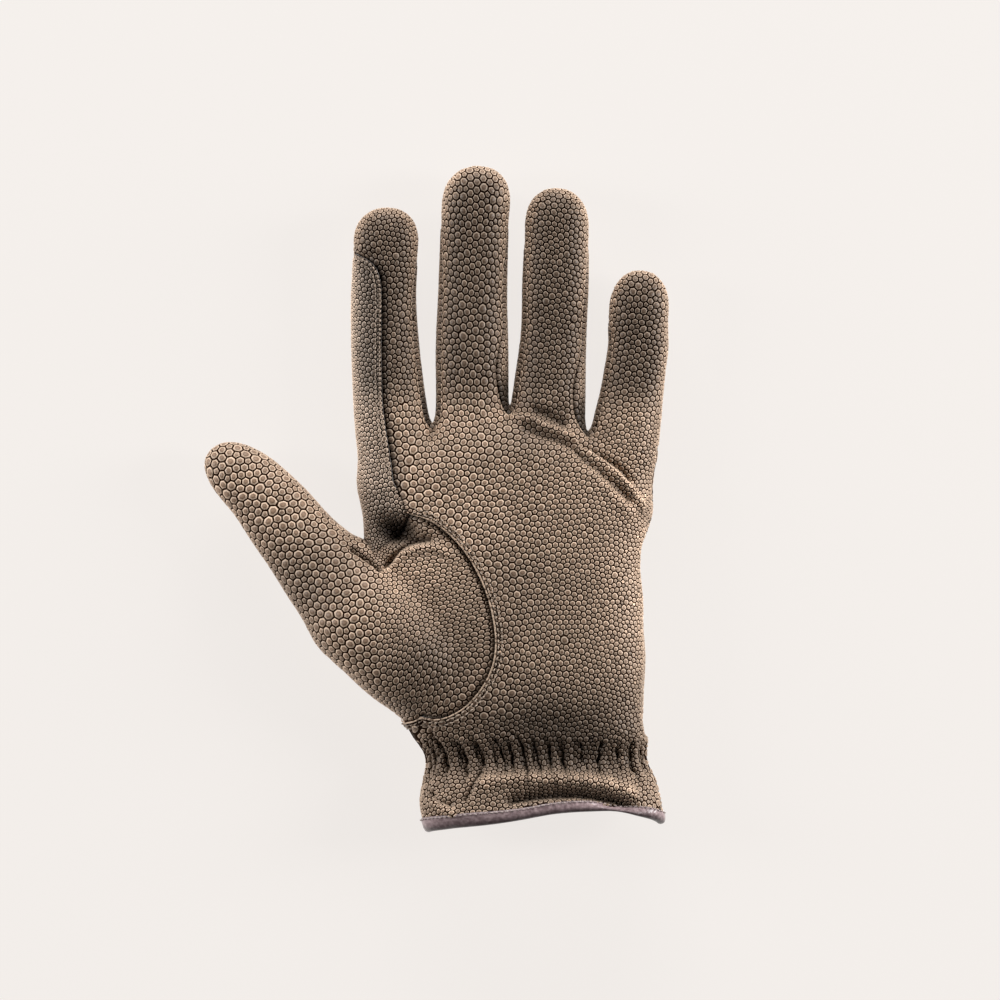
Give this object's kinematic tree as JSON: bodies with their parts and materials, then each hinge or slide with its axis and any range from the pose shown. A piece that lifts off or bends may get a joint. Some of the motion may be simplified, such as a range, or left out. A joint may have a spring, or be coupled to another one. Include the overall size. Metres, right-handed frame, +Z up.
{
  "type": "riding glove",
  "caption": "Left-hand riding glove of thin scale-embossed synthetic leather, lying palm up, with fourchettes, a set-in thumb, a rein patch, wrist gathers and a bound cuff.",
  "frame": {"origin": "under the middle of the glove's bounding box, on the surface that it rests on", "axes": "+Y from the cuff to the fingertips, +Z up out of the palm, +X from the thumb to the little finger"},
  "size_m": [0.1506, 0.216, 0.0319],
  "materials": {
    "embossed_leather": "taupe brown, embossed with small rounded scales, low sheen",
    "rein_patch": "the same leather with a finer scale",
    "binding": "smooth mauve-brown tape, slightly shiny"
  },
  "bodies": {
    "root": {"palm": "embossed_leather", "back": "embossed_leather", "thumb": "embossed_leather", "fourchette_index_middle": "embossed_leather", "fourchette_middle_ring": "embossed_leather", "fourchette_ring_little": "embossed_leather", "rein_patch": "rein_patch", "binding": "binding"}
  },
  "joints": []
}
